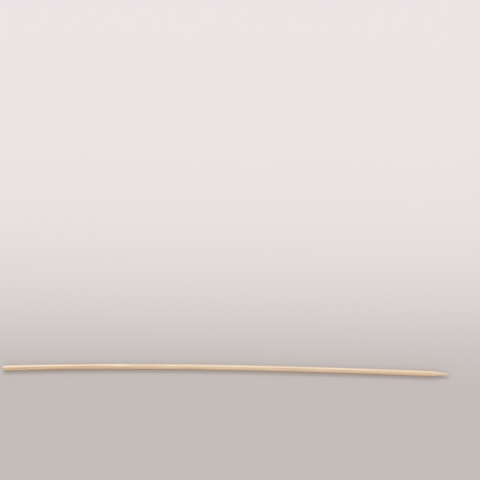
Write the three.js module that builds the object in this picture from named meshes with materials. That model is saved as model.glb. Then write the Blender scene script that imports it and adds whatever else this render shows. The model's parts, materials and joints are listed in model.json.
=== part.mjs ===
// A round bamboo skewer: one straight-grained strip of bamboo, drawn round through a die,
// sawn square at the butt and ground to a point at the other end.
// It lies on a flat surface, and its slight bow, which every such stick takes as it dries, lies flat.
// Millimetres. +X runs from the butt to the point, +Y to the side that the bow stands out to, +Z up.
import * as THREE from "three";
import { mergeVertices } from "three/addons/utils/BufferGeometryUtils.js";

// Driving sizes
const LENGTH = 300; // from the sawn end to the tip
const DIAMETER = 3.5; // of the drawn shaft
const POINT_LENGTH = 12; // of the ground point
const POINT_CROWN = 0.05; // how far the flank of the point swells out from a straight cone
const TIP_RADIUS = 0.22; // the tip is left a little blunt, so that it doesn't splinter
const BUTT_EDGE = 0.12; // broken edge round the sawn end, from tumbling
const BUTT_SIDE = 4.7; // sideways pull of the bow a third of the way from the butt
const TIP_SIDE = 2.8; // sideways pull of the bow a third of the way from the tip

// Fineness of the faceted solid
const SIDES = 24;
const SHAFT_STEPS = 48;
const POINT_STEPS = 6;
const TIP_STEPS = 4;

// The flats of the faceted shaft touch the true round, so that the stick measures DIAMETER across them.
const flatsToCorners = 1 / Math.cos(Math.PI / SIDES);
const shaftRadius = (DIAMETER / 2) * flatsToCorners;
const pointStart = LENGTH - POINT_LENGTH;
const noseStart = LENGTH - TIP_RADIUS;

const bamboo = new THREE.MeshStandardMaterial({
  name: "bamboo",
  color: 0xdcc1a0,
  roughness: 0.55,
  metalness: 0,
});

// The shaft, from the broken edge of the butt to where the grinding of the point begins.
function shaftOutline() {
  const points = [];
  for (let i = 0; i <= SHAFT_STEPS; i++) {
    const along = THREE.MathUtils.lerp(BUTT_EDGE, pointStart, i / SHAFT_STEPS);
    points.push(new THREE.Vector2(shaftRadius, along));
  }
  return points;
}

// The ground flank, a cone that swells a little in its middle. The shaft already holds its first point.
function pointOutline() {
  const points = [];
  for (let i = 1; i <= POINT_STEPS; i++) {
    const share = i / POINT_STEPS;
    const cone = THREE.MathUtils.lerp(shaftRadius, TIP_RADIUS, share);
    const crown = 4 * POINT_CROWN * share * (1 - share);
    const along = THREE.MathUtils.lerp(pointStart, noseStart, share);
    points.push(new THREE.Vector2(cone + crown, along));
  }
  return points;
}

// The blunt tip, a quarter round that ends on the axis.
function tipOutline() {
  const points = [];
  for (let i = 1; i < TIP_STEPS; i++) {
    const angle = (Math.PI / 2) * (i / TIP_STEPS);
    const across = TIP_RADIUS * Math.cos(angle);
    points.push(new THREE.Vector2(across, noseStart + TIP_RADIUS * Math.sin(angle)));
  }
  points.push(new THREE.Vector2(0, LENGTH));
  return points;
}

// Half of the stick's section along its axis, x across and y along, turned into a straight stick on +X.
function straightStick() {
  const outline = [
    new THREE.Vector2(0, 0),
    new THREE.Vector2(shaftRadius - BUTT_EDGE, 0),
    ...shaftOutline(),
    ...pointOutline(),
    ...tipOutline(),
  ];
  const halfSide = Math.PI / SIDES;
  const stick = new THREE.LatheGeometry(outline, SIDES, halfSide);
  stick.rotateZ(-Math.PI / 2);
  return stick;
}

// The middle line of the bowed stick, seen from above.
function bowLine() {
  return new THREE.CubicBezierCurve(
    new THREE.Vector2(0, 0),
    new THREE.Vector2(LENGTH / 3, BUTT_SIDE),
    new THREE.Vector2((2 * LENGTH) / 3, TIP_SIDE),
    new THREE.Vector2(LENGTH, 0),
  );
}

// Every ring of the straight stick moves onto the middle line and turns square to it.
function bend(stick, line) {
  const position = stick.getAttribute("position");
  for (let i = 0; i < position.count; i++) {
    const share = position.getX(i) / LENGTH;
    const across = position.getY(i);
    const middle = line.getPoint(share);
    const ahead = line.getTangent(share);
    position.setXY(i, middle.x - ahead.y * across, middle.y + ahead.x * across);
  }
  position.needsUpdate = true;
}

// The origin lies under the middle of the stick's box, on the surface that it rests on.
function standOnOrigin(stick) {
  stick.computeBoundingBox();
  const { min, max } = stick.boundingBox;
  stick.translate(-(min.x + max.x) / 2, -(min.y + max.y) / 2, -min.z);
}

function skewerGeometry() {
  const stick = straightStick();
  bend(stick, bowLine());
  stick.deleteAttribute("normal");
  stick.deleteAttribute("uv");
  const closed = mergeVertices(stick);
  standOnOrigin(closed);
  closed.computeVertexNormals();
  return closed;
}

const skewer = new THREE.Mesh(skewerGeometry(), bamboo);
skewer.name = "skewer";

const part = new THREE.Group();
part.add(skewer);

export default part;
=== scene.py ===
# %% [markdown]
# # A bamboo skewer, dressed for a close look
#
# The real thing is one strip of bamboo, about as long as a school ruler and a little thicker than
# a matchstick. A mill splits the cane, pulls each strip through a round die, saws it to length and
# grinds a point on it. Nothing is painted or varnished, so all that the eye gets is the grain of
# the cane, the marks of the tools and a slight bow.
#
# The lesson makes the stick with Geometry Nodes, because its shape follows a few rules, and then
# grows the grain in its material. The measured model is loaded first, and everything is fitted to it.

# %% Load the measured model
import json
from collections import namedtuple
from math import atan2, cos, degrees, pi, radians, sin

import bmesh
import bpy
from mathutils import Color, Matrix, Vector
from mathutils.bvhtree import BVHTree


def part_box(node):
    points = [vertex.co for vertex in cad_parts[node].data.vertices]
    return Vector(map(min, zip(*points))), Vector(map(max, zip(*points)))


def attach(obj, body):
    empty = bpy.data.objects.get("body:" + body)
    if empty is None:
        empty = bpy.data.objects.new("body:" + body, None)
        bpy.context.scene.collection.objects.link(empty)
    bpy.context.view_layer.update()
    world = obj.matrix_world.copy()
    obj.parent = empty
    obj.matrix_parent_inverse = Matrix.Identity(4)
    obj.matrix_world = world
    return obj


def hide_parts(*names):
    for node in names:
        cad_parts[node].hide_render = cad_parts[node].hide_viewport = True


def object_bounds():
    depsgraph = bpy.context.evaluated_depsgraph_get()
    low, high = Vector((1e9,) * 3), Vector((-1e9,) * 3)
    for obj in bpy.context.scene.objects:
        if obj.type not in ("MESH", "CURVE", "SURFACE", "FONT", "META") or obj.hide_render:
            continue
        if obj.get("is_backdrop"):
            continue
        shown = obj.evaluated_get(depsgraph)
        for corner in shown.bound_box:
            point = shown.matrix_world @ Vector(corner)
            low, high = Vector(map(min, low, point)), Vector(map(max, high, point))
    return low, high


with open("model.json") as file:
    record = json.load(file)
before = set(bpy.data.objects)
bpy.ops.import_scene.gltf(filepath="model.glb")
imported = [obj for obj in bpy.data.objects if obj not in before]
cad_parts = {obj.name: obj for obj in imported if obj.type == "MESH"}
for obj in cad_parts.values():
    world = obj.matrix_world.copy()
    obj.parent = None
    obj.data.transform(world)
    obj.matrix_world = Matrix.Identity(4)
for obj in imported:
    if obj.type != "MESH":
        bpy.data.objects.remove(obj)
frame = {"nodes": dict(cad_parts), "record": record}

cad_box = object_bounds()
low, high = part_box("skewer")
print("the measured stick spans", [round(1000 * side, 2) for side in high - low], "mm")

# %% [markdown]
# ## The sizes of the stick
#
# A modelled piece should take its sizes from the drawing and not from the eye. The drawing knows
# where the sawn end is and which way it faces, because a handle may be pushed on it. The line from
# there to the far end of the box is the length, and the way the sawn face looks gives the slope of
# the bow. Only what the drawing can't tell is written down again here, in metres.

# %% Read the sizes off the model
butt_mount = frame["record"]["mounts"][0]
butt_centre = Vector(butt_mount["pos_m"])
butt_outward = Vector(butt_mount["axis"])

LENGTH = high.x - butt_centre.x
DIAMETER = high.z - low.z
POINT_LENGTH = 0.012
POINT_CROWN = 0.00005
TIP_RADIUS = 0.00022
BUTT_EDGE = 0.00012

# How far the bow is pulled sideways, a third of the way from the sawn end and from the tip
BUTT_SIDE = LENGTH / 3 * butt_outward.y / butt_outward.x
TIP_SIDE = 0.0028

print("length", round(1000 * LENGTH, 2), "mm, diameter", round(1000 * DIAMETER, 2), "mm")
print("the bow leaves the sawn end at", round(degrees(atan2(BUTT_SIDE, LENGTH / 3)), 2), "degrees")

# %% [markdown]
# ## A small workbench for nodes
#
# Node trees are easy to draw and tedious to script. One class holds an output socket and lets
# Python's operators work on it, so that `1 - mask` adds a Math node by itself. A second class
# adds every other kind of node: its settings come first, because they decide which sockets it
# has, and then the values or links of its inputs. Geometry and shader trees share both.

# %% Wires that arithmetic works on
class Wire:
    """An output socket. Every operation on it adds one Math node."""

    def __init__(self, bench, socket):
        self.bench = bench
        self.socket = socket

    def out(self, name):
        """Another output of the same node."""
        return Wire(self.bench, self.socket.node.outputs[name])

    def math(self, operation, *values):
        return self.bench.math(operation, self, *values)

    def __add__(self, value):
        return self.math("ADD", value)

    def __sub__(self, value):
        return self.math("SUBTRACT", value)

    def __rsub__(self, value):
        return self.bench.math("SUBTRACT", value, self)

    def __mul__(self, value):
        return self.math("MULTIPLY", value)

    def __truediv__(self, value):
        return self.math("DIVIDE", value)

    __radd__ = __add__
    __rmul__ = __mul__


print("a wire works out +, -, * and / by itself")

# %% A bench to lay them on
class Bench:
    """Adds nodes to one tree, and hands back each one's output as a wire."""

    def __init__(self, tree):
        self.tree = tree

    def add(self, kind, settings=None, inputs=None, output=None):
        """One node: its type, its settings, its inputs in order or by name, and the output to use."""
        node = self.tree.nodes.new(kind)
        for name, value in (settings or {}).items():
            setattr(node, name, value)
        live = [socket for socket in node.inputs if socket.enabled]
        by_name = {socket.name: socket for socket in reversed(live)}
        pairs = inputs.items() if isinstance(inputs, dict) else enumerate(inputs or [])
        for key, value in pairs:
            self.feed(by_name[key] if isinstance(key, str) else live[key], value)
        outputs = [socket for socket in node.outputs if socket.enabled]
        if not outputs:
            return node
        return Wire(self, next((socket for socket in outputs if socket.name == output), outputs[0]))

    def feed(self, socket, value):
        """Links a wire to the socket, or writes a plain value on it."""
        if isinstance(value, Wire):
            self.tree.links.new(value.socket, socket)
        else:
            socket.default_value = value

    def math(self, operation, *values):
        return self.add("ShaderNodeMath", {"operation": operation}, values)

    def vector(self, x, y, z):
        return self.add("ShaderNodeCombineXYZ", None, [x, y, z])

    def split(self, vector):
        """A vector's x. Its y and z are the other outputs."""
        return self.add("ShaderNodeSeparateXYZ", None, [vector])

    def vectors(self, operation, *values):
        output = "Value" if operation == "DOT_PRODUCT" else "Vector"
        return self.add("ShaderNodeVectorMath", {"operation": operation}, values, output)

    def ramp(self, value, start, end, kind="LINEAR"):
        """0 at the start and before, 1 at the end and after."""
        return self.add("ShaderNodeMapRange", {"interpolation_type": kind}, [value, start, end])

    def noise(self, place, detail=2.0, roughness=0.5):
        inputs = {"Vector": place, "Scale": 1.0, "Detail": detail, "Roughness": roughness}
        return self.add("ShaderNodeTexNoise", None, inputs)

    def mix(self, share, first, second):
        """Two colours mixed by a share."""
        inputs = {"Factor": share, "A": first, "B": second}
        return self.add("ShaderNodeMix", {"data_type": "RGBA"}, inputs)


print("the bench knows", len([name for name in vars(Bench) if not name.startswith("_")]), "jobs")

# %% [markdown]
# ## The grain of the cane
#
# Under a lens the sawn end of a bamboo stick is cream with brown dots. Each dot is a bundle of
# tough fibres, and each bundle runs on through the whole strip, so a dot on the end is a thin dark
# streak on the side. Fine bundles crowd between the coarse ones. A strip is never cut quite along
# the grain, so the streaks come up to the surface and dive again.
#
# Two flat pictures, one for the end and one for the side, would never meet at the edge. The grain
# is therefore a pattern in space: cells stretched along the stick, read at the place that a point
# had in the straight stick, before the bow. The same few lines serve the shape and the colour, so
# a dark streak is also a low ridge.

# %% Grains, each with the width and the run of one cell, and how much finer detail it holds
Grain = namedtuple("Grain", "width run detail", defaults=[2.0])
HAIRS = Grain(width=0.00006, run=0.009, detail=4.0)
LINES = Grain(width=0.00016, run=0.024, detail=3.0)
FURROWS = Grain(width=0.00017, run=0.014)
FINE_BUNDLES = Grain(width=0.00030, run=0.075)
COARSE_BUNDLES = Grain(width=0.00052, run=0.110)

# How far the fibres slide sideways and up for each metre along the stick
SLOPE_SIDE = 0.0045
SLOPE_UP = -0.0062

# Noise hardly ever leaves the first two values, and a fibre shows between the last two
NOISE_LOW = 0.30
NOISE_HIGH = 0.70
NOISE_MIDDLE = (NOISE_LOW + NOISE_HIGH) / 2
FIBRE_STARTS = 0.52
FIBRE_FULL = 0.64
FIBRE_ROUGHNESS = 0.6

# Where a bundle is full and where it ends, in cell widths from its middle
WHOLE_BUNDLE = (0.10, 0.40)
HEART_OF_BUNDLE = (0.06, 0.20)

section = pi / 4 * DIAMETER**2
print("coarse bundles in the section:", round(section / COARSE_BUNDLES.width**2))


# %% Patterns of the grain, read in the straight stick
def cell(bench, place, grain):
    """The place, slid so that x follows the fibres and counted in the grain's cells."""
    along = bench.split(place)
    side = along.out("Y") + along * SLOPE_SIDE
    up = along.out("Z") + along * SLOPE_UP
    return bench.vector(along / grain.run, side / grain.width, up / grain.width)


def fibres(bench, place, grain):
    """Fine lines along the grain, from 0 to 1 with the mean near a half."""
    return bench.noise(cell(bench, place, grain), grain.detail, FIBRE_ROUGHNESS)


def bundles(bench, place, grain, reach=WHOLE_BUNDLE):
    """1 in the middle of each bundle of fibres, fading to 0 round it."""
    full, ended = reach
    inputs = {"Vector": cell(bench, place, grain), "Scale": 1.0}
    distance = bench.add("ShaderNodeTexVoronoi", None, inputs, "Distance")
    return bench.ramp(distance, ended, full, "SMOOTHSTEP")


slid = [round(1000 * LENGTH * slope, 2) for slope in (SLOPE_SIDE, SLOPE_UP)]
print("from end to end the fibres slide", slid, "mm sideways and up")

# %% [markdown]
# ## The outline
#
# The stick is a cylinder whose rings are laid along it by a rule, so a cylinder primitive with
# every vertex moved is the natural start. The rule has four stretches: a broken edge, the drawn
# shaft, the ground point and the blunt tip. Each stretch adds its own change of radius and of
# distance, and the sum is the outline. Modelling it by hand would be as quick for one stick, but
# the rule keeps every size adjustable and lets the grain work on the same vertices.

# %% The outline of the stick
EDGE_RINGS = 6
SHAFT_RINGS = 400
POINT_RINGS = 150
NOSE_RINGS = 4
ALL_RINGS = EDGE_RINGS + SHAFT_RINGS + POINT_RINGS + NOSE_RINGS

# The nose is a dome: its rings turn the first part of it, and the cap over them turns the rest
NOSE_TURN = radians(25)
CAP_TURN = radians(90) - NOSE_TURN


def stretches(bench, share):
    """How far a ring has come through the edge, the shaft, the point and the nose, each 0 to 1."""
    ends = [0, EDGE_RINGS, EDGE_RINGS + SHAFT_RINGS, ALL_RINGS - NOSE_RINGS, ALL_RINGS]
    return [bench.ramp(share, a / ALL_RINGS, b / ALL_RINGS) for a, b in zip(ends, ends[1:])]


def outline(sizes, parts, share, ring, slant):
    """Radius and distance along the stick, each the sum of what the four stretches add."""
    edge, shaft, point, nose = parts
    radius = sizes["Diameter"] * 0.5
    tip = sizes["Tip radius"]
    edge_turn = edge * radians(90)
    nose_turn = nose * NOSE_TURN + (1 - ring) * share * CAP_TURN
    shaft_length = sizes["Length"] - sizes["Point length"] - sizes["Butt edge"] + slant
    point_length = sizes["Point length"] - tip - slant

    across = radius - sizes["Butt edge"] * (1 - edge_turn.math("SINE"))
    across = across - (radius - tip) * point + sizes["Point crown"] * 4 * point * (1 - point)
    across = across - tip * (1 - nose_turn.math("COSINE"))
    along = sizes["Butt edge"] * (1 - edge_turn.math("COSINE"))
    along = along + shaft_length * shaft + point_length * point + tip * nose_turn.math("SINE")
    return across * (1 - (1 - ring) * (1 - share)), along


print("rings along the stick:", ALL_RINGS, "of them on the point:", POINT_RINGS)

# %% [markdown]
# ## What the tools took away
#
# A perfect lathe shape looks like plastic. The die leaves the shaft slightly uneven in thickness,
# and torn fibres leave fine furrows while the hard bundles stand a little proud. The grinder
# leaves faint bands round the point, and the saw leaves strokes across the end and frays its rim.
# A bump in the material would do in a picture, but these marks break the outline of a stick this
# thin, so the larger ones are real. Each only takes material away, which keeps the dressed stick
# inside the measured one.

# %% Marks of the tools, in metres
FURROW_DEPTH = 0.000028
RIDGE_HEIGHT = 0.000014
THICKNESS_DRIFT = 0.000022
DRIFT_RUN = 0.055
GRIND_DEPTH = 0.000030
GRIND_PITCH = 0.00042
FRAY_DEPTH = 0.00008
SAW_DEPTH = 0.00007
SAW_PITCH = 0.00016

# A stroke of the saw is this many pitches long
STROKE_PITCHES = 20

# Near the tip there is little left to mark: past the first share of the point the marks fade, and
# at its end the second share of them is left
MARKS_FADE_FROM = 0.5
TIP_MARKS = 0.2


def saw_strokes(bench, place, pitch):
    """Fine lines across the sawn end."""
    along = bench.split(place)
    return bench.noise(bench.vector(0.0, along.out("Y") / pitch, along.out("Z") / (STROKE_PITCHES * pitch)))


def taken_off(bench, sizes, place, parts):
    """How far the surface lies under the round outline."""
    edge, _, point, nose = parts
    along = bench.split(place)
    torn = bench.ramp(fibres(bench, place, FURROWS), NOISE_MIDDLE, NOISE_LOW)
    drift = bench.noise(bench.vector(along / DRIFT_RUN, 0.0, 0.0))
    bands = bench.vector(along / GRIND_PITCH, along.out("Y") / DIAMETER, along.out("Z") / DIAMETER)
    bands = bench.noise(bands)

    depth = torn * sizes["Furrow depth"] + drift * THICKNESS_DRIFT
    depth = depth + (1 - bundles(bench, place, COARSE_BUNDLES)) * RIDGE_HEIGHT
    depth = depth + bands * point * GRIND_DEPTH + torn * (1 - edge) * FRAY_DEPTH
    fade = 1 - bench.ramp(point, MARKS_FADE_FROM, 1.0) * (1 - TIP_MARKS)
    return depth * fade * (1 - nose)


def sawn_away(bench, place, edge):
    """How deep the saw leaves the end face, least where the hard bundles stand."""
    soft = 1 - bundles(bench, place, COARSE_BUNDLES)
    return (saw_strokes(bench, place, SAW_PITCH) + soft) * 0.5 * (1 - edge) * SAW_DEPTH


print("deepest furrow on the shaft:", round(1000 * (FURROW_DEPTH + RIDGE_HEIGHT), 3), "mm")

# %% [markdown]
# ## The tree that makes the stick
#
# The tree starts from a plain cylinder of radius and height 1. Each vertex tells by its place how
# far along it is and which way it looks, and that is all that the rules need. The grinder never
# meets a stick quite in its middle, so the start of the point runs a little slantwise round it.
#
# The bow is a curve with two handles, and every ring moves onto it and turns square to it. A
# Curve to Mesh node would sweep a round section too, but it gives every ring the same outline,
# and the place in the straight stick would have to be worked out again for the grain. Here that
# place is known before the bow is put in, and it is stored on the vertex for the material.

# %% The inputs of the tree
SIDES = 144
CAP_RINGS = 14
BOW_STEPS = 160

# On its way round, the start of the point runs this far along the stick. It comes last at this
# turn, counted from the side that the bow stands out to.
SLANT = 0.0009
SLANT_TURN = radians(60)

# The share of the point over which the ground surface sets in
GRIND_SETS_IN = 0.02

SIZES = {
    "Length": LENGTH,
    "Diameter": DIAMETER,
    "Butt edge": BUTT_EDGE,
    "Point length": POINT_LENGTH,
    "Point crown": POINT_CROWN,
    "Tip radius": TIP_RADIUS,
    "Butt side": BUTT_SIDE,
    "Tip side": TIP_SIDE,
    "Slant": SLANT,
    "Furrow depth": FURROW_DEPTH,
}


def open_tree():
    """An empty tree with named inputs, a bench to work on and the inputs as wires."""
    tree = bpy.data.node_groups.new("Bowed skewer", "GeometryNodeTree")
    tree.interface.new_socket("Geometry", in_out="OUTPUT", socket_type="NodeSocketGeometry")
    for name, value in SIZES.items():
        tree.interface.new_socket(name, in_out="INPUT", socket_type="NodeSocketFloat").default_value = value
    tree.interface.new_socket("Sides", in_out="INPUT", socket_type="NodeSocketInt").default_value = SIDES
    tree.interface.new_socket("Butt centre", in_out="INPUT", socket_type="NodeSocketVector")
    tree.interface.new_socket("Bamboo", in_out="INPUT", socket_type="NodeSocketMaterial")
    bench = Bench(tree)
    given = tree.nodes.new("NodeGroupInput")
    return bench, {socket.name: Wire(bench, socket) for socket in given.outputs if socket.name}


print("sizes that the tree takes:", ", ".join(SIZES))

# %% Rings, bow and stored values
def blank_rings(bench, sides):
    """A cylinder of many rings, and for each vertex its distance from the middle line, the way it
    looks and its share of the length. All but the vertices inside the two caps lie at distance 1."""
    inputs = {"Vertices": sides, "Side Segments": ALL_RINGS, "Fill Segments": CAP_RINGS}
    inputs |= {"Radius": 1.0, "Depth": 1.0}
    blank = bench.add("GeometryNodeMeshCylinder", {"fill_type": "TRIANGLE_FAN"}, inputs)
    vertex = bench.split(bench.add("GeometryNodeInputPosition"))
    ring = (vertex * vertex + vertex.out("Y") * vertex.out("Y")).math("SQRT")
    return blank, ring, vertex / ring, vertex.out("Y") / ring, vertex.out("Z") + 0.5


def bow_line(bench, sizes):
    """The middle line of the stick: a curve with its two handles a third of the way in."""
    start = sizes["Butt centre"]
    third = sizes["Length"] / 3
    steps = [
        bench.vector(third, sizes["Butt side"], 0.0),
        bench.vector(third * 2, sizes["Tip side"], 0.0),
        bench.vector(sizes["Length"], 0.0, 0.0),
    ]
    places = [start, *(bench.vectors("ADD", start, step) for step in steps)]
    return bench.add("GeometryNodeCurvePrimitiveBezierSegment", {"mode": "POSITION"}, [BOW_STEPS, *places])


def bent(bench, sizes, across, along, turn_side, turn_up):
    """The place on the bowed stick of a vertex that is known in the straight one."""
    inputs = {"Curves": bow_line(bench, sizes), "Factor": along / sizes["Length"]}
    middle = bench.add("GeometryNodeSampleCurve", {"mode": "FACTOR"}, inputs, "Position")
    ahead = bench.split(middle.out("Tangent"))
    side = across * turn_side
    off_middle = bench.vector(side * -1 * ahead.out("Y"), side * ahead, across * turn_up)
    return bench.vectors("ADD", middle, off_middle)


def store(bench, geometry, name, value, kind="FLOAT"):
    """Writes a value on every vertex, where the material can read it by name."""
    settings = {"data_type": kind, "domain": "POINT"}
    inputs = {"Geometry": geometry, "Name": name, "Value": value}
    return bench.add("GeometryNodeStoreNamedAttribute", settings, inputs)


print("each face on the shaft is", round(1000 * pi * DIAMETER / SIDES, 3), "mm wide")

# %% Lay out the tree
def skewer_tree():
    """Outline first, then the marks of the tools, then the bow."""
    bench, sizes = open_tree()
    blank, ring, turn_side, turn_up, share = blank_rings(bench, sizes["Sides"])
    slant = (turn_side * cos(SLANT_TURN) + turn_up * sin(SLANT_TURN)) * sizes["Slant"] * 0.5
    parts = stretches(bench, share)
    edge, _, point, _ = parts
    across, along = outline(sizes, parts, share, ring, slant)
    place = bench.vector(along, across * turn_side, across * turn_up)
    across = across - taken_off(bench, sizes, place, parts) * ring
    along = along + sawn_away(bench, place, edge)

    shape = store(bench, blank, "grain", place, "FLOAT_VECTOR")
    shape = store(bench, shape, "sawn", (1 - edge) * (1 - share))
    shape = store(bench, shape, "ground", bench.ramp(point, 0.0, GRIND_SETS_IN))
    moved = {"Geometry": shape, "Position": bent(bench, sizes, across, along, turn_side, turn_up)}
    shape = bench.add("GeometryNodeSetPosition", None, moved)
    shape = bench.add("GeometryNodeSetShadeSmooth", None, [shape])
    shape = bench.add("GeometryNodeRealizeInstances", None, [shape])
    shape = bench.add("GeometryNodeSetMaterial", None, {"Geometry": shape, "Material": sizes["Bamboo"]})
    bench.add("NodeGroupOutput", None, [shape])
    return bench.tree


stick_tree = skewer_tree()
print("the tree of the stick has", len(stick_tree.nodes), "nodes")

# %% [markdown]
# ## The paints
#
# Bare bamboo is pale straw. The side of the strip that lay near the skin of the cane is denser and
# a little darker, the inner side is creamier. The skin side is turned down and to the near side,
# where its darker colour is also painted shade, and the inner side up and back, where it is made
# paler still as a painted highlight. Heat in the drying room toasts some stretches more orange. The
# ground point shows fresh, paler wood, and its very tip is a little browner.
#
# A colour is easiest to judge as a screen shows it, from 0 to 255. Shaders count light, so each
# paint is turned into light values on its way in.

# %% Colours, as on a paint chart
def paint(red, green, blue):
    """A colour as a screen shows it, turned into the light values that shaders use."""
    return (*Color((red / 255, green / 255, blue / 255)).from_srgb_to_scene_linear(), 1.0)


# The pale inner-side colour is made brighter as a painted highlight, and the darker skin-side colour also
# serves as painted shade on the lower near flank.
PITH_AND_HIGHLIGHT = paint(244, 224, 197)
NEAR_SKIN_AND_SHADE = paint(229, 199, 164)
TOASTED = paint(218, 180, 142)
FIBRE = paint(198, 163, 124)
BUNDLE = paint(164, 122, 82)
BUNDLE_HEART = paint(124, 85, 50)
FRESH_GROUND = paint(234, 214, 186)
TIP_BROWN = paint(170, 126, 82)

print("light values of the skin side:", [round(value, 3) for value in NEAR_SKIN_AND_SHADE])

# %% [markdown]
# ## The finish
#
# Three layers of grain lie over each other: hair-fine lines, streaks where bundles of fibres come
# to the surface, and slow changes of tone along the stick. Drawing through the die and tumbling
# leave a soft satin, the grinder leaves the point duller, and the saw leaves the end rough.
#
# An image of bamboo would stretch at the point and break at the edge of the sawn face. The layers
# read the straight-stick place that the tree stored on every vertex under the name `grain`, so
# they bend with the stick, run to a point with it and turn into dots on its end.

# %% Which stretch is toasted, and which side lay near the skin and carries painted shade
TOASTED_MIDDLE = 0.046
TOASTED_REACH = 0.026
TOASTED_TINT = 0.60
PITH_AND_HIGHLIGHT_TOASTS = 0.35
TONE_RUN = 0.035
TONE_DETAIL = 3.0
TONE_TINT = 0.30
# The skin side points down and towards the near side, so its darker colour is also painted shade there, and
# the paler inner side, up and back, is painted highlight.
SKIN_AND_SHADE_SIDE = Vector((0.0, -0.80, -0.60))
SKIN_AND_SHADE_STARTS = -0.24 * DIAMETER
SKIN_AND_SHADE_FULL = -0.02 * DIAMETER


def skin_and_shade_side(bench, place):
    """1 where the strip lay next to the skin of the cane, 0 on its inner side. The skin side faces down and
    near, so it is also painted shade, and the inner side painted highlight.
    """
    return bench.ramp(bench.vectors("DOT_PRODUCT", place, SKIN_AND_SHADE_SIDE), SKIN_AND_SHADE_STARTS, SKIN_AND_SHADE_FULL)


def tone(bench, along, skin_and_shade):
    """The toasted stretch near the sawn end, which shows most on the dense side with the painted shade and
    least under the painted highlight, plus slow drift.
    """
    off = (along - TOASTED_MIDDLE) / TOASTED_REACH
    toasted = (off * off * -1).math("EXPONENT") * (PITH_AND_HIGHLIGHT_TOASTS + skin_and_shade * (1 - PITH_AND_HIGHLIGHT_TOASTS))
    drift = bench.noise(bench.vector(along / TONE_RUN, 0.0, 0.0), TONE_DETAIL)
    drift = bench.ramp(drift, NOISE_LOW, NOISE_HIGH)
    return toasted * TOASTED_TINT + drift * TONE_TINT


print("toasted from", round(1000 * (TOASTED_MIDDLE - TOASTED_REACH)), "to",
      round(1000 * (TOASTED_MIDDLE + TOASTED_REACH)), "mm")

# %% Colour, layer by layer
HAIR_TINT = 0.34
LINE_TINT = 0.46
FINE_TINT = 0.36
COARSE_TINT = 0.42
HEART_TINT = 0.55
HEART_ON_END = 0.25
GROUND_TINT = 0.35
TIP_TINT = 0.25
TIP_REACH = 0.0015


def bamboo_colour(bench, place, along, ground, sawn):
    """The tone of the cane with every layer of grain mixed over it."""
    hairs = bench.ramp(fibres(bench, place, HAIRS), FIBRE_STARTS, FIBRE_FULL)
    lines = bench.ramp(fibres(bench, place, LINES), FIBRE_STARTS, FIBRE_FULL)
    hearts = bundles(bench, place, COARSE_BUNDLES, HEART_OF_BUNDLE)
    skin_and_shade = skin_and_shade_side(bench, place)
    layers = [
        (tone(bench, along, skin_and_shade), TOASTED),
        (hairs * HAIR_TINT, FIBRE),
        (lines * LINE_TINT, FIBRE),
        (bundles(bench, place, FINE_BUNDLES) * FINE_TINT, BUNDLE),
        (bundles(bench, place, COARSE_BUNDLES) * COARSE_TINT, BUNDLE),
        (hearts * (HEART_TINT + sawn * HEART_ON_END), BUNDLE_HEART),
        (ground * GROUND_TINT, FRESH_GROUND),
        (bench.ramp(along, LENGTH - TIP_REACH, LENGTH) * TIP_TINT, TIP_BROWN),
    ]
    # Painted shade and highlight: the skin colour lies on the lower near flank, the brighter pith colour on
    # the upper back flank.
    colour = bench.mix(skin_and_shade, PITH_AND_HIGHLIGHT, NEAR_SKIN_AND_SHADE)
    for share, layer in layers:
        colour = bench.mix(share, colour, layer)
    return colour


print("the heart of a bundle covers", HEART_TINT, "on the side,", HEART_TINT + HEART_ON_END, "on the end")

# %% Sheen, as shares, and fine relief, in metres
SATIN = 0.20
SATIN_LINES = 0.16
GROUND_DULLER = 0.24
SAWN_DULLER = 0.40
SHINE = 0.8
HAIR_RELIEF = 0.000004
SCRATCHES = Grain(width=0.0012, run=0.00009)
SCRATCH_RELIEF = 0.000014
FINE_SAW_PITCH = 0.00006
SAW_RELIEF = 0.00003


def bamboo_roughness(bench, place, ground, sawn):
    """Satin on the shaft, duller where it was ground and dullest where it was sawn."""
    return SATIN + fibres(bench, place, LINES) * SATIN_LINES + ground * GROUND_DULLER + sawn * SAWN_DULLER


def bamboo_relief(bench, place, ground, sawn):
    """Relief finer than the mesh: hair lines, grinding scratches and saw strokes."""
    hairs = fibres(bench, place, HAIRS) * HAIR_RELIEF
    scratches = fibres(bench, place, SCRATCHES) * ground * SCRATCH_RELIEF
    return hairs + scratches + saw_strokes(bench, place, FINE_SAW_PITCH) * sawn * SAW_RELIEF


def bamboo_material():
    """Reads the stored values and feeds them to one shader."""
    material = bpy.data.materials.new("bamboo")
    material.use_nodes = True
    material.node_tree.nodes.clear()
    bench = Bench(material.node_tree)
    place, ground, sawn = (
        bench.add("ShaderNodeAttribute", {"attribute_name": name}, None, output)
        for name, output in (("grain", "Vector"), ("ground", "Fac"), ("sawn", "Fac"))
    )
    relief = {"Strength": 1.0, "Distance": 1.0, "Height": bamboo_relief(bench, place, ground, sawn)}
    shader = bench.add("ShaderNodeBsdfPrincipled", None, {
        "Base Color": bamboo_colour(bench, place, bench.split(place), ground, sawn),
        "Roughness": bamboo_roughness(bench, place, ground, sawn),
        "Specular IOR Level": SHINE,
        "Normal": bench.add("ShaderNodeBump", None, relief),
    })
    bench.add("ShaderNodeOutputMaterial", None, {"Surface": shader})
    return material


bamboo = bamboo_material()
print("the bamboo has", len(bamboo.node_tree.nodes), "nodes")

# %% [markdown]
# ## From rule to mesh
#
# A modifier carries the tree. Its inputs go in by each socket's identifier, before anything asks
# for the result. The evaluated result is then copied into a plain mesh, which is what the stick
# is from here on: nothing has to be worked out again, and an exporter sees every vertex.

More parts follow.
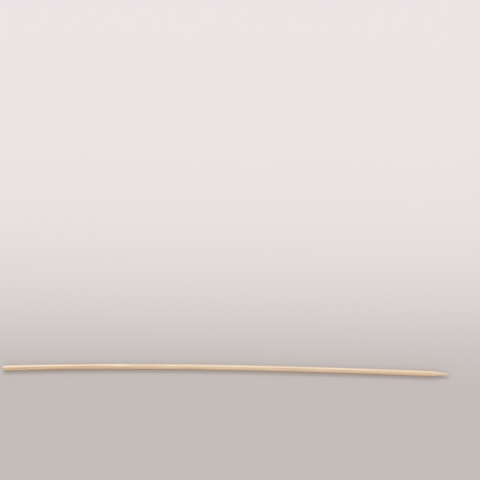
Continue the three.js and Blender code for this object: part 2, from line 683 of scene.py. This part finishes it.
# %% Make the stick
def plain_mesh(tree, inputs, name):
    """The tree's result as an ordinary object at the origin."""
    maker = bpy.data.objects.new("maker", bpy.data.meshes.new("maker"))
    bpy.context.scene.collection.objects.link(maker)
    modifier = maker.modifiers.new("tree", "NODES")
    modifier.node_group = tree
    for socket in tree.interface.items_tree:
        if socket.item_type == "SOCKET" and socket.name in inputs:
            modifier[socket.identifier] = inputs[socket.name]
    depsgraph = bpy.context.evaluated_depsgraph_get()
    mesh = bpy.data.meshes.new_from_object(maker.evaluated_get(depsgraph))
    mesh.name = name
    bpy.data.objects.remove(maker)
    made = bpy.data.objects.new(name, mesh)
    bpy.context.scene.collection.objects.link(made)
    return made


skewer_inputs = SIZES | {"Sides": SIDES, "Butt centre": butt_centre, "Bamboo": bamboo}
skewer = plain_mesh(stick_tree, skewer_inputs, "bamboo_skewer")
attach(skewer, "root")
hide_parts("skewer")
print("the stick has", len(skewer.data.polygons), "faces")

# %% [markdown]
# ## Does it fit?
#
# A dressed piece has to lie where the measured one lies. The furthest distance from any vertex of
# the new stick to the surface of the measured one answers that in one number. The shell should
# also be closed and face outwards, or it can't be printed or cut. Such a shell has no loose edge,
# and the volume that it encloses is positive.

# %% Compare the stick with the measured one
measured = frame["nodes"]["skewer"]
surface = BVHTree.FromPolygons(
    [vertex.co for vertex in measured.data.vertices],
    [polygon.vertices for polygon in measured.data.polygons],
)
gaps = [surface.find_nearest(vertex.co)[3] for vertex in skewer.data.vertices]
print("furthest from the measured surface:", round(1000 * max(gaps), 3), "mm")

shell = bmesh.new()
shell.from_mesh(skewer.data)
loose = sum(not edge.is_manifold for edge in shell.edges)
print("loose edges:", loose, "and enclosed:", round(1e9 * shell.calc_volume(signed=True)), "cubic mm")
shell.free()

# %% [markdown]
# ## The table and the light
#
# The stick is shown on a table with painted light and shade: greyer round the stick and in front of it,
# paler behind.
# A pale stick is lost on white, and one flat grey looks dull. The tone follows the place on the
# table, and far off it depends on the direction alone, as the backdrop's does. So the two meet
# without a seam, from whatever side they are seen.
#
# Most of the light is even and comes from all round. A key lamp behind the stick draws a bright
# line along its upper side and a soft thin shadow in front, and a wide lamp low on the near side
# keeps the near flank clear.
#
# Both lamps are suns with a wide disc and not panels nearby. Their light is the same all over the
# table, so the stick is lit alike from end to end and looks right from any side. The key stands
# almost square to the stick, because a rod seen from its side mirrors only what is at its side. It
# is turned a little towards the sawn end, where the bright line should be strongest.

# %% Table
# The table's colour carries painted light: greyer near and in front of the stick as painted shade, paler
# behind as a painted falloff of light.
TABLE_IN_PAINTED_SHADE = paint(196, 189, 186)
TABLE_IN_PAINTED_LIGHT = paint(236, 228, 229)
TABLE_ROUGHNESS = 0.9
TABLE_SHINE = 0.1
TABLE_SIZE = 40.0

# The painted light on the table is mostly full this far behind the stick, and it starts to grow just before
# it
PAINTED_LIGHT_REACH = 0.11
PAINTED_LIGHT_STARTS = -0.15


def painted_light_tone(bench, behind):
    """The painted light and shade by how squarely a place lies behind the stick: 1 behind, 0 beside, -1 in
    front.
    """
    return bench.mix(bench.ramp(behind, PAINTED_LIGHT_STARTS, 1.0, "SMOOTHSTEP"), TABLE_IN_PAINTED_SHADE, TABLE_IN_PAINTED_LIGHT)


def table_material():
    """Matt, with painted shade and light set by where a place lies seen from the whole stick, not from its
    middle.
    """
    material = bpy.data.materials.new("table")
    material.use_nodes = True
    material.node_tree.nodes.clear()
    bench = Bench(material.node_tree)
    along = bench.split(bench.add("ShaderNodeTexCoord", output="Object"))
    past_end = (along.math("ABSOLUTE") - LENGTH / 2).math("MAXIMUM", 0.0)
    back = along.out("Y")
    distance = (past_end * past_end + back * back + PAINTED_LIGHT_REACH**2).math("SQRT")
    shader = bench.add("ShaderNodeBsdfPrincipled", None, {
        "Base Color": painted_light_tone(bench, back / distance),
        "Roughness": TABLE_ROUGHNESS,
        "Specular IOR Level": TABLE_SHINE,
    })
    bench.add("ShaderNodeOutputMaterial", None, {"Surface": shader})
    return material


def table():
    """A wide flat square at the height on which the stick rests."""
    half = TABLE_SIZE / 2
    corners = [(-half, -half, 0), (half, -half, 0), (half, half, 0), (-half, half, 0)]
    mesh = bpy.data.meshes.new("table")
    mesh.from_pydata(corners, [], [(0, 1, 2, 3)])
    mesh.materials.append(table_material())
    made = bpy.data.objects.new("table", mesh)
    bpy.context.scene.collection.objects.link(made)
    return made


table()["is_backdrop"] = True
print("the table is", TABLE_SIZE, "m wide, so that its edge lies far off")

# %% Light
WHITE = (1.0, 1.0, 1.0, 1.0)
SKY_LIGHT = 0.75
KEY_LIGHT = 0.80
KEY_SPREAD = radians(16)
KEY_FROM = Vector((-0.12, 0.71, 0.71)).normalized()
FILL_LIGHT = 0.57
FILL_SPREAD = radians(50)
FILL_FROM = Vector((-0.10, -0.90, 0.42)).normalized()


def lamp(name, origin, strength, spread):
    """An even, soft light from far away. The spread is how wide its disc looks from the stick."""
    sun = bpy.data.lights.new(name, "SUN")
    sun.energy = strength
    sun.angle = spread
    made = bpy.data.objects.new(name, sun)
    made.rotation_euler = (-origin).to_track_quat("-Z", "Y").to_euler()
    bpy.context.scene.collection.objects.link(made)


def studio_world():
    """Even white light from all round. The camera and shiny surfaces see the table's tone there, with the
    same painted light, paler behind.
    """
    world = bpy.data.worlds.new("studio")
    world.use_nodes = True
    world.node_tree.nodes.clear()
    bench = Bench(world.node_tree)
    ray = bench.add("ShaderNodeLightPath", output="Is Camera Ray")
    direction = bench.split(bench.add("ShaderNodeTexCoord", output="Generated"))
    painted_light_there = painted_light_tone(bench, direction.out("Y"))
    seen = ray + ray.out("Is Glossy Ray") + ray.out("Is Transmission Ray")
    light = bench.add("ShaderNodeBackground", None, {"Color": WHITE, "Strength": SKY_LIGHT})
    backdrop = bench.add("ShaderNodeBackground", None, {"Color": painted_light_there, "Strength": 1.0})
    either = bench.add("ShaderNodeMixShader", None, [seen, light, backdrop])
    bench.add("ShaderNodeOutputWorld", None, {"Surface": either})
    return world


lamp("key", KEY_FROM, KEY_LIGHT, KEY_SPREAD)
lamp("fill", FILL_FROM, FILL_LIGHT, FILL_SPREAD)
bpy.context.scene.world = studio_world()
bpy.context.scene.view_settings.view_transform = "Standard"

level = SKY_LIGHT + (KEY_LIGHT * KEY_FROM.z + FILL_LIGHT * FILL_FROM.z) / pi
print("a white card on the table would show at", round(level, 2), "of full white")

# %% [markdown]
# ## The camera
#
# The camera could be moved by hand until the picture looks right, but a stick this thin shows an
# error of one pixel, so its place is worked out. The two facts are where the ends of the stick
# should show in the square picture, and the one choice is how steeply the camera looks down. It is
# first turned until the stick lies in the plane of the two sight lines, and then moved back until
# both meet their ends.

# %% Camera
PICTURE = 480
BUTT_PIXEL = Vector((3.1, 368.1))
TIP_PIXEL = Vector((450.5, 374.4))
LENS = 100.0
SENSOR = 36.0
LOOK_DOWN = radians(57)


def sight_line(pixel):
    """The direction of a pixel, seen from a level camera that looks along its own -Z."""
    half = PICTURE / 2
    spread = SENSOR / 2 / LENS
    return Vector(((pixel.x - half) / half * spread, (half - pixel.y) / half * spread, -1.0))


def placed_camera(near, far):
    """The place and the turn at which the two points show at their pixels."""
    tilt = Matrix.Rotation(radians(90) - LOOK_DOWN, 3, "X")
    first = tilt @ sight_line(BUTT_PIXEL)
    second = tilt @ sight_line(TIP_PIXEL)
    chord = far - near
    plane = first.cross(second)
    turn = Matrix.Rotation(atan2(-chord.dot(plane), chord.y * plane.x - chord.x * plane.y), 3, "Z")
    first = turn @ first
    second = turn @ second
    across = first.cross(second)
    reach = -chord.cross(second).dot(across) / across.length_squared
    return near - first * reach, (turn @ tilt).to_euler()


tip = butt_centre + Vector((LENGTH, 0.0, 0.0))
optics = bpy.data.cameras.new("camera")
optics.lens = LENS
optics.sensor_width = SENSOR
camera = bpy.data.objects.new("camera", optics)
camera.location, camera.rotation_euler = placed_camera(butt_centre, tip)
bpy.context.scene.collection.objects.link(camera)
bpy.context.scene.camera = camera
print("the camera stands", round(camera.location.length, 3), "m from the stick")

# %% [markdown]
# ## Keep the sizes honest
#
# The dressed stick may not be larger than the measured one. Both boxes are worked out, and the
# dressed stick's spans are printed.

# %% Work out both boxes
boxes = {"cad": [list(corner) for corner in cad_box], "visual": [list(corner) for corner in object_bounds()]}
spans = [round(1000 * (top - bottom), 2) for bottom, top in zip(*boxes["visual"])]
print("the dressed stick spans", spans, "mm")
